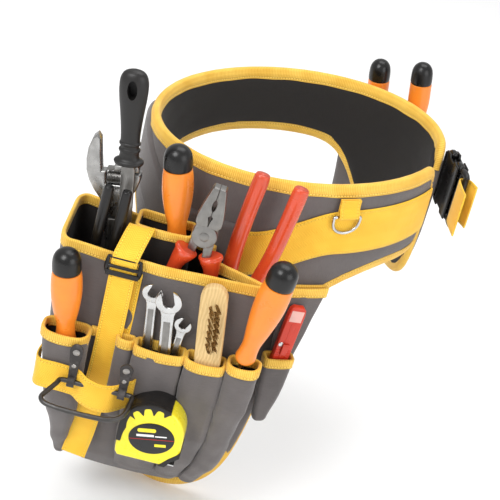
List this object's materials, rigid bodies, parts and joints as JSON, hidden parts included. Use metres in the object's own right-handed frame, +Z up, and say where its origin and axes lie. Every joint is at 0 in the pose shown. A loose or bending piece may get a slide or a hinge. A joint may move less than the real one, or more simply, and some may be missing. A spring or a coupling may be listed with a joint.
{
  "type": "tool belt",
  "caption": "Padded waist belt with a hanging multi-pocket tool pouch, hammer loop, side-release buckle and lift-out hand tools.",
  "frame": {"origin": "middle of the waist opening, at the height of the waist webbing", "axes": "+X to the buckle end, +Y to the back of the waist ring as seen from the pouch (the pouch is on -Y), +Z up as worn"},
  "size_m": [0.3963, 0.4639, 0.4834],
  "materials": {
    "grey_fabric": "woven nylon",
    "black_fabric": "mesh lining",
    "yellow_webbing": "woven webbing",
    "black_plastic": "satin",
    "orange_plastic": "satin",
    "red_plastic": "glossy",
    "chrome_steel": "polished",
    "grey_steel": "ground",
    "dark_leather": "smooth",
    "pale_wood": "bare",
    "brass_bristle": "bristle tufts",
    "yellow_plastic": "satin"
  },
  "bodies": {
    "belt_and_pouch": {"bag_strap": "yellow_webbing", "belt_lining": "black_fabric", "belt_lower_binding": "yellow_webbing", "belt_shell": "grey_fabric", "belt_top_binding": "yellow_webbing", "buckle_housing": "black_plastic", "d_ring_tab": "yellow_webbing", "front_pocket_brush": "grey_fabric", "front_pocket_driver": "grey_fabric", "front_pocket_left": "grey_fabric", "front_pocket_spanners": "grey_fabric", "hammer_tab_left": "dark_leather", "hammer_tab_right": "dark_leather", "hammer_webbing": "yellow_webbing", "hip_pocket": "grey_fabric", "inner_pocket": "grey_fabric", "main_pocket": "grey_fabric", "main_pocket_binding": "yellow_webbing", "side_pocket_knife": "grey_fabric", "side_pocket_upper": "grey_fabric", "waist_webbing": "yellow_webbing"},
    "ladder_lock": {"ladder_lock": "black_plastic"},
    "d_ring": {"d_ring": "chrome_steel"},
    "buckle_tongue": {"buckle_tongue": "black_plastic", "webbing_loop": "yellow_webbing"},
    "buckle_prong_upper": {"buckle_prong_upper": "black_plastic"},
    "buckle_prong_lower": {"buckle_prong_lower": "black_plastic"},
    "hammer_ring": {"hammer_ring": "grey_steel"},
    "driver_centre": {"driver_centre_handle": "orange_plastic", "driver_centre_cap": "black_plastic"},
    "driver_left": {"driver_left_handle": "orange_plastic", "driver_left_cap": "black_plastic"},
    "driver_right": {"driver_right_handle": "orange_plastic", "driver_right_cap": "black_plastic"},
    "driver_far_left": {"driver_far_left_handle": "orange_plastic", "driver_far_left_cap": "black_plastic"},
    "driver_far_right": {"driver_far_right_handle": "orange_plastic", "driver_far_right_cap": "black_plastic"},
    "wrench": {"wrench_body": "chrome_steel"},
    "wrench_jaw": {"wrench_jaw": "chrome_steel"},
    "wrench_worm": {"wrench_worm": "grey_steel"},
    "file": {"file_handle": "black_plastic", "file_blade": "grey_steel"},
    "cutter": {"cutter_right": "black_plastic"},
    "cutter_jaw": {"cutter_left": "black_plastic"},
    "pliers": {"pliers_right": "grey_steel", "pliers_sleeve_right": "red_plastic"},
    "pliers_jaw": {"pliers_left": "grey_steel", "pliers_sleeve_left": "red_plastic"},
    "pincer": {"pincer_right": "red_plastic"},
    "pincer_jaw": {"pincer_left": "red_plastic"},
    "spanner_back": {"spanner_back": "chrome_steel"},
    "spanner_front": {"spanner_front": "chrome_steel"},
    "spanner_small": {"spanner_small": "chrome_steel"},
    "brush": {"brush_block": "pale_wood", "brush_bristles": "brass_bristle"},
    "knife": {"knife_body": "red_plastic"},
    "knife_slider": {"knife_slider": "black_plastic"},
    "tape": {"tape_case": "yellow_plastic"},
    "tape_blade": {"tape_blade": "grey_steel"}
  },
  "joints": [
    {"name": "ladder_lock_slide", "type": "slide", "parent": "belt_and_pouch", "child": "ladder_lock", "axis": [0, 0, -1], "range_m": [0, 0.05]},
    {"name": "d_ring_swing", "type": "hinge", "parent": "belt_and_pouch", "child": "d_ring", "pos_m": [0.06215, -0.1192, 0.021], "axis": [-0.8633, -0.5046, 0], "range_deg": [0, 120]},
    {"name": "buckle_release", "type": "slide", "parent": "belt_and_pouch", "child": "buckle_tongue", "axis": [0.2672, -0.9636, 0], "range_m": [0, 0.035]},
    {"name": "prong_upper_squeeze", "type": "hinge", "parent": "buckle_tongue", "child": "buckle_prong_upper", "pos_m": [0.17178, 0.01022, 0.027], "axis": [-0.9636, -0.2672, 0], "range_deg": [0, 7], "stiffness_Nm_per_rad": 0.5},
    {"name": "prong_lower_squeeze", "type": "hinge", "parent": "buckle_tongue", "child": "buckle_prong_lower", "pos_m": [0.17178, 0.01022, -0.011], "axis": [0.9636, 0.2672, 0], "range_deg": [0, 7]},
    {"name": "hammer_ring_fold", "type": "hinge", "parent": "belt_and_pouch", "child": "hammer_ring", "pos_m": [-0.133, -0.2444, -0.158], "axis": [-1, 0, 0], "range_deg": [0, 75]},
    {"name": "driver_centre_lift", "type": "slide", "parent": "belt_and_pouch", "child": "driver_centre", "axis": [-0.165, 0, 0.9863], "range_m": [0, 0.12]},
    {"name": "driver_left_lift", "type": "slide", "parent": "belt_and_pouch", "child": "driver_left", "axis": [-0.1217, -0.0523, 0.9912], "range_m": [0, 0.105]},
    {"name": "driver_right_lift", "type": "slide", "parent": "belt_and_pouch", "child": "driver_right", "axis": [0.1475, -0.061, 0.9872], "range_m": [0, 0.105]},
    {"name": "driver_far_left_lift", "type": "slide", "parent": "belt_and_pouch", "child": "driver_far_left", "axis": [-0.1219, 0, 0.9925], "range_m": [0, 0.095]},
    {"name": "driver_far_right_lift", "type": "slide", "parent": "belt_and_pouch", "child": "driver_far_right", "axis": [-0.1305, 0, 0.9914], "range_m": [0, 0.075]},
    {"name": "wrench_lift", "type": "slide", "parent": "belt_and_pouch", "child": "wrench", "axis": [-0.1564, 0, 0.9877], "range_m": [0, 0.11]},
    {"name": "wrench_jaw_slide", "type": "slide", "parent": "wrench", "child": "wrench_jaw", "axis": [0.9877, 0, 0.1564], "range_m": [-0.0115, 0.004]},
    {"name": "wrench_worm_turn", "type": "hinge", "parent": "wrench", "child": "wrench_worm", "pos_m": [-0.16403, -0.1465, 0.01756], "axis": [0.9877, 0, 0.1564], "range_deg": [-2100, 740]},
    {"name": "file_lift", "type": "slide", "parent": "belt_and_pouch", "child": "file", "axis": [-0.108, 0, 0.9942], "range_m": [0, 0.125]},
    {"name": "cutter_lift", "type": "slide", "parent": "belt_and_pouch", "child": "cutter", "axis": [0.0523, 0, 0.9986], "range_m": [0, 0.115]},
    {"name": "cutter_open", "type": "hinge", "parent": "cutter", "child": "cutter_jaw", "pos_m": [-0.1605, -0.187, -0.092], "axis": [0, -1, 0], "range_deg": [0, 6]},
    {"name": "pliers_lift", "type": "slide", "parent": "belt_and_pouch", "child": "pliers", "axis": [0.0872, 0, 0.9962], "range_m": [0, 0.09]},
    {"name": "pliers_open", "type": "hinge", "parent": "pliers", "child": "pliers_jaw", "pos_m": [-0.0665, -0.1887, 0.004], "axis": [0, 1, 0], "range_deg": [0, 5]},
    {"name": "pincer_lift", "type": "slide", "parent": "belt_and_pouch", "child": "pincer", "axis": [0.1288, 0, 0.9917], "range_m": [0, 0.135]},
    {"name": "pincer_open", "type": "hinge", "parent": "pincer", "child": "pincer_jaw", "pos_m": [-0.03, -0.163, -0.1076], "axis": [0, -1, 0], "range_deg": [0, 5]},
    {"name": "spanner_back_lift", "type": "slide", "parent": "belt_and_pouch", "child": "spanner_back", "axis": [-0.0872, 0, 0.9962], "range_m": [0, 0.05]},
    {"name": "spanner_front_lift", "type": "slide", "parent": "belt_and_pouch", "child": "spanner_front", "axis": [-0.1045, 0, 0.9945], "range_m": [0, 0.055]},
    {"name": "spanner_small_lift", "type": "slide", "parent": "belt_and_pouch", "child": "spanner_small", "axis": [0.0698, 0, 0.9976], "range_m": [0, 0.025]},
    {"name": "brush_lift", "type": "slide", "parent": "belt_and_pouch", "child": "brush", "axis": [-0.1045, 0, 0.9945], "range_m": [0, 0.04]},
    {"name": "knife_lift", "type": "slide", "parent": "belt_and_pouch", "child": "knife", "axis": [0.0983, 0.0357, 0.9945], "range_m": [0, 0.04]},
    {"name": "knife_blade_push", "type": "slide", "parent": "knife", "child": "knife_slider", "axis": [0.0983, 0.0357, 0.9945], "range_m": [0, 0.03]},
    {"name": "tape_unclip", "type": "slide", "parent": "belt_and_pouch", "child": "tape", "axis": [0, -1, 0], "range_m": [0, 0.05]},
    {"name": "tape_pull", "type": "slide", "parent": "tape", "child": "tape_blade", "axis": [1, 0, 0], "range_m": [0, 0.1]}
  ],
  "couplings": [
    {"joint": "prong_lower_squeeze", "follows": "prong_upper_squeeze", "ratio": 1},
    {"joint": "wrench_worm_turn", "follows": "wrench_jaw_slide", "rad_per_m": 3141.6}
  ]
}
